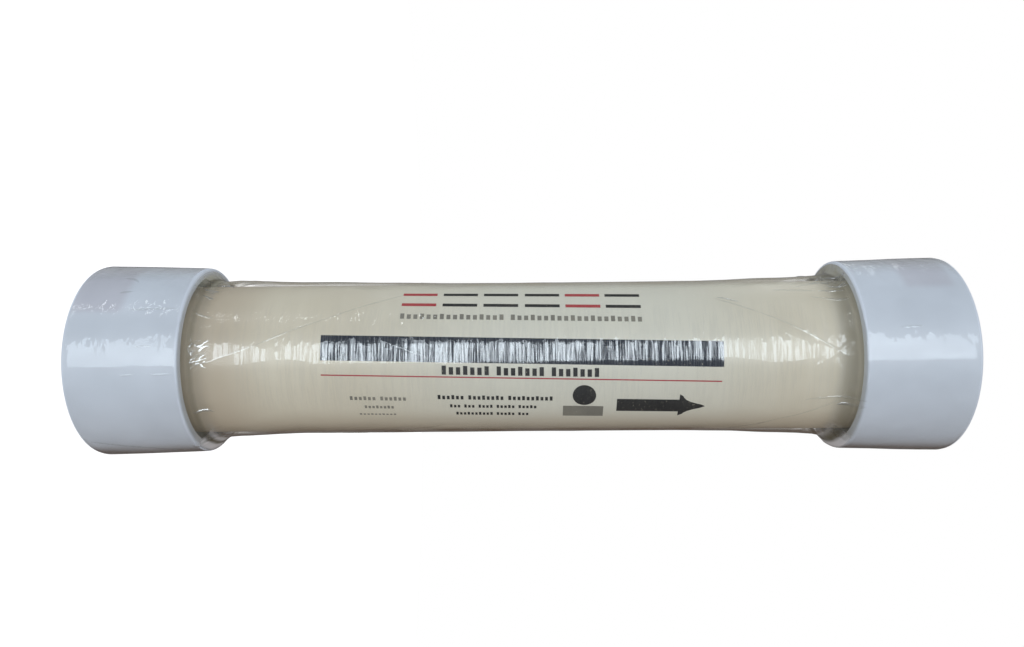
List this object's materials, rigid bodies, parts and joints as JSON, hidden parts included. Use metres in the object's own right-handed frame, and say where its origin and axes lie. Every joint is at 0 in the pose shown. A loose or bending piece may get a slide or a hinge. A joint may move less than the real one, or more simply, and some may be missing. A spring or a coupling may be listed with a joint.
{
  "type": "reverse osmosis membrane element",
  "caption": "Spiral-wound reverse osmosis membrane element standing on end, with a fibreglass shell, white end caps and clear stretch film for transport.",
  "frame": {"origin": "middle of the feed end cap's outer face, on the floor", "axes": "+Z along the permeate tube, in the direction of flow"},
  "size_m": [0.1278, 0.1278, 0.554],
  "materials": {
    "cap_plastic": "smooth white moulded plastic",
    "clear_film": "clear glossy stretch film",
    "fibreglass": "cream resin over wound glass",
    "disc_plastic": "moulded black",
    "seal_rubber": "smooth black",
    "tube_plastic": "extruded off-white",
    "membrane_sheet": "woven sheet, damp sheen",
    "spacer_net": "translucent net"
  },
  "bodies": {
    "root": {"feed_end_cap": "cap_plastic", "brine_end_cap": "cap_plastic", "stretch_film": "clear_film", "frp_shell": "fibreglass", "feed_end_disc": "disc_plastic", "brine_end_disc": "disc_plastic", "brine_seal": "seal_rubber", "permeate_tube": "tube_plastic", "membrane_leaf_1": "membrane_sheet", "membrane_leaf_2": "membrane_sheet", "membrane_leaf_3": "membrane_sheet", "membrane_leaf_4": "membrane_sheet", "feed_spacer_1": "spacer_net", "feed_spacer_2": "spacer_net", "feed_spacer_3": "spacer_net", "feed_spacer_4": "spacer_net"}
  },
  "joints": []
}
